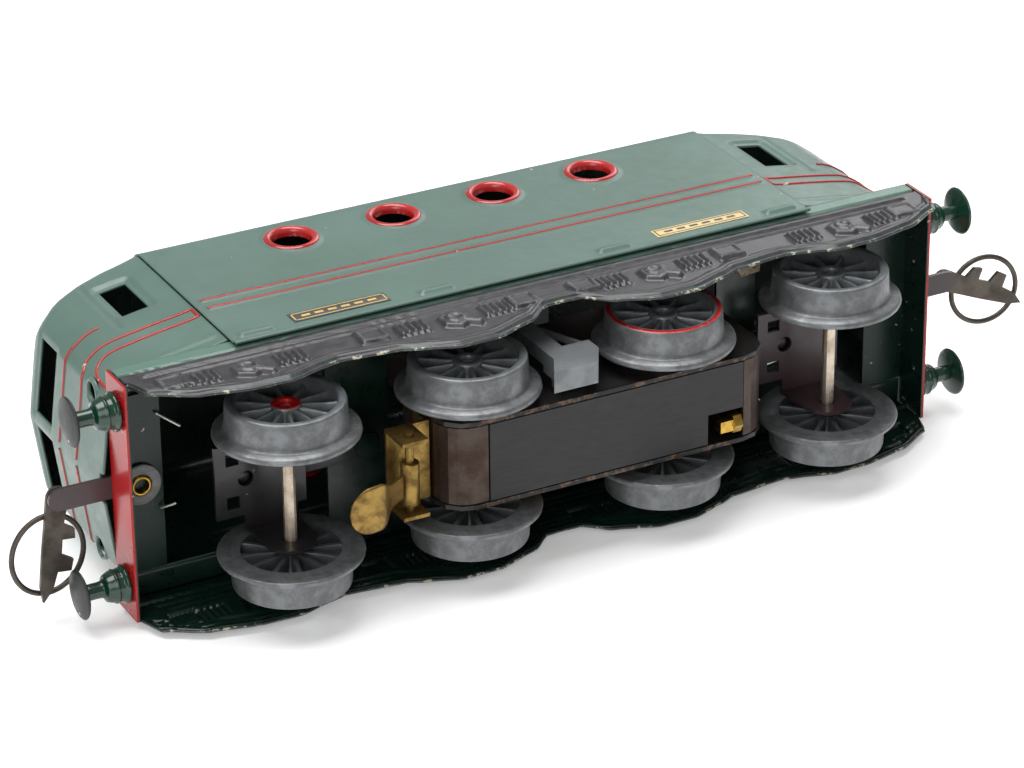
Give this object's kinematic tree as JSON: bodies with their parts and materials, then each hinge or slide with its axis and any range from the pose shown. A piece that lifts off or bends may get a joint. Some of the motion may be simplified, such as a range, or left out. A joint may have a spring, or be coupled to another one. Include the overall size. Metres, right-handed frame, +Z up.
{
  "type": "model locomotive",
  "caption": "O gauge model electric locomotive: sheet-metal body with two cabs and portholes on a powered chassis with pony trucks, hook-and-loop couplings and folding pantographs",
  "frame": {"origin": "centre of the overall box at the level of the wheel flanges, so it stands on z = 0", "axes": "X along the length with the dark-buffered front cab at -X, Y across with the left side at -Y, Z up"},
  "size_m": [0.2492, 0.0576, 0.0958],
  "materials": {
    "green_paint": "semi-gloss enamel",
    "dark_green_paint": "gloss enamel",
    "black_paint": "satin enamel, worn at edges",
    "red_paint": "gloss enamel",
    "zinc": "die-cast zinc alloy, as cast",
    "nickel_steel": "plated, slightly tarnished",
    "bronze_steel": "chemically darkened sheet",
    "brass": "aged",
    "copper": "enamelled winding and laminations",
    "fibre": "vulcanised fibre",
    "cork": "cut cork"
  },
  "bodies": {
    "chassis": {"body_shell": "green_paint", "front_cab": "green_paint", "rear_cab": "green_paint", "left_skirt": "black_paint", "right_skirt": "black_paint", "front_headstock": "red_paint", "rear_headstock": "red_paint", "front_left_buffer": "black_paint", "front_right_buffer": "black_paint", "rear_left_buffer": "dark_green_paint", "rear_right_buffer": "dark_green_paint", "front_drawbar": "bronze_steel", "rear_drawbar": "bronze_steel", "front_washer": "brass", "motor_left_plate": "black_paint", "motor_right_plate": "black_paint", "motor_front_spacer": "bronze_steel", "motor_rear_spacer": "bronze_steel", "bottom_cover": "fibre", "field_magnet": "nickel_steel", "field_coil": "copper", "brush_holder": "brass", "collector_bracket": "brass", "front_bridge": "dark_green_paint", "rear_bridge": "dark_green_paint", "side_casting": "zinc", "cork_pad": "cork", "front_panto_base": "red_paint", "rear_panto_base": "red_paint"},
    "front_driver": {"front_driver_axle": "nickel_steel", "front_driver_left_wheel": "zinc", "front_driver_right_wheel": "zinc", "front_axle_gear": "brass"},
    "rear_driver": {"rear_driver_axle": "nickel_steel", "rear_driver_left_wheel": "zinc", "rear_driver_right_wheel": "zinc", "rear_axle_gear": "brass"},
    "armature_spindle": {"armature": "copper"},
    "front_idler_gear": {"front_idler": "brass"},
    "rear_idler_gear": {"rear_idler": "brass"},
    "shoe": {"collector_shoe": "brass"},
    "front_link": {"front_truck_link": "bronze_steel"},
    "front_truck": {"front_truck_frame": "black_paint"},
    "front_pony": {"front_pony_axle": "nickel_steel", "front_pony_left_wheel": "zinc", "front_pony_right_wheel": "zinc"},
    "front_coupling": {"front_hook": "bronze_steel"},
    "front_coupling_loop": {"front_loop": "bronze_steel"},
    "front_panto_arm": {"front_panto_lower": "nickel_steel"},
    "front_panto_head": {"front_panto_upper": "nickel_steel"},
    "rear_link": {"rear_truck_link": "bronze_steel"},
    "rear_truck": {"rear_truck_frame": "black_paint"},
    "rear_pony": {"rear_pony_axle": "nickel_steel", "rear_pony_left_wheel": "zinc", "rear_pony_right_wheel": "zinc"},
    "rear_coupling": {"rear_hook": "bronze_steel"},
    "rear_coupling_loop": {"rear_loop": "bronze_steel"},
    "rear_panto_arm": {"rear_panto_lower": "nickel_steel"},
    "rear_panto_head": {"rear_panto_upper": "nickel_steel"}
  },
  "joints": [
    {"name": "rear_driver_spin", "type": "hinge", "parent": "chassis", "child": "rear_driver", "pos_m": [0.01805, 0, 0.0155], "axis": [0, 1, 0], "continuous": true},
    {"name": "front_driver_spin", "type": "hinge", "parent": "chassis", "child": "front_driver", "pos_m": [-0.02875, 0, 0.0155], "axis": [0, 1, 0], "continuous": true},
    {"name": "armature_spin", "type": "hinge", "parent": "chassis", "child": "armature_spindle", "pos_m": [0.00065, 0, 0.023], "axis": [0, 1, 0], "continuous": true},
    {"name": "front_idler_spin", "type": "hinge", "parent": "chassis", "child": "front_idler_gear", "pos_m": [-0.01288, 0, 0.02158], "axis": [0, 1, 0], "continuous": true},
    {"name": "rear_idler_spin", "type": "hinge", "parent": "chassis", "child": "rear_idler_gear", "pos_m": [0.00837, 0, 0.02133], "axis": [0, 1, 0], "continuous": true},
    {"name": "front_truck_swing", "type": "hinge", "parent": "chassis", "child": "front_link", "pos_m": [-0.04735, 0, 0.028], "axis": [0, 0, 1], "range_deg": [-7, 7]},
    {"name": "front_truck_float", "type": "slide", "parent": "front_link", "child": "front_truck", "axis": [0, 0, 1], "range_m": [-0.011, 0.001]},
    {"name": "front_pony_spin", "type": "hinge", "parent": "front_truck", "child": "front_pony", "pos_m": [-0.07035, 0, 0.0155], "axis": [0, 1, 0], "continuous": true},
    {"name": "front_coupling_swing", "type": "hinge", "parent": "chassis", "child": "front_coupling", "pos_m": [-0.11335, 0, 0.0346], "axis": [0, 0, 1], "range_deg": [-6, 160]},
    {"name": "front_loop_lift", "type": "hinge", "parent": "front_coupling", "child": "front_coupling_loop", "pos_m": [-0.11411, 0.00433, 0.03715], "axis": [0.9848, 0.1736, 0], "range_deg": [0, 95]},
    {"name": "front_panto_raise", "type": "hinge", "parent": "chassis", "child": "front_panto_arm", "pos_m": [-0.06235, 0, 0.0924], "axis": [0, -1, 0], "range_deg": [0, 50]},
    {"name": "front_panto_unfold", "type": "hinge", "parent": "front_panto_arm", "child": "front_panto_head", "pos_m": [-0.03535, 0, 0.0924], "axis": [0, -1, 0], "range_deg": [-100, 0]},
    {"name": "rear_truck_swing", "type": "hinge", "parent": "chassis", "child": "rear_link", "pos_m": [0.04365, 0, 0.028], "axis": [0, 0, 1], "range_deg": [-8, 8]},
    {"name": "rear_truck_float", "type": "slide", "parent": "rear_link", "child": "rear_truck", "axis": [0, 0, 1], "range_m": [-0.008, 0.001]},
    {"name": "rear_pony_spin", "type": "hinge", "parent": "rear_truck", "child": "rear_pony", "pos_m": [0.05965, 0, 0.0155], "axis": [0, 1, 0], "continuous": true},
    {"name": "rear_coupling_swing", "type": "hinge", "parent": "chassis", "child": "rear_coupling", "pos_m": [0.10265, 0, 0.0346], "axis": [0, 0, 1], "range_deg": [-110, 60]},
    {"name": "rear_loop_lift", "type": "hinge", "parent": "rear_coupling", "child": "rear_coupling_loop", "pos_m": [0.10664, 0.00186, 0.03715], "axis": [0.4226, -0.9063, 0], "range_deg": [0, 95]},
    {"name": "rear_panto_raise", "type": "hinge", "parent": "chassis", "child": "rear_panto_arm", "pos_m": [0.05165, 0, 0.0924], "axis": [0, 1, 0], "range_deg": [0, 50]},
    {"name": "rear_panto_unfold", "type": "hinge", "parent": "rear_panto_arm", "child": "rear_panto_head", "pos_m": [0.02465, 0, 0.0924], "axis": [0, 1, 0], "range_deg": [-100, 0]},
    {"name": "shoe_swing", "type": "hinge", "parent": "chassis", "child": "shoe", "pos_m": [-0.04555, 0, 0.0096], "axis": [0, 1, 0], "range_deg": [-4, 14], "stiffness_Nm_per_rad": 0.002}
  ],
  "couplings": [
    {"joint": "front_driver_spin", "follows": "rear_driver_spin", "ratio": 1},
    {"joint": "armature_spin", "follows": "rear_driver_spin", "ratio": 2.3077},
    {"joint": "front_idler_spin", "follows": "rear_driver_spin", "ratio": -0.5607},
    {"joint": "rear_idler_spin", "follows": "rear_driver_spin", "ratio": -1.2},
    {"joint": "front_panto_unfold", "follows": "front_panto_raise", "ratio": -2},
    {"joint": "rear_panto_unfold", "follows": "rear_panto_raise", "ratio": -2}
  ]
}
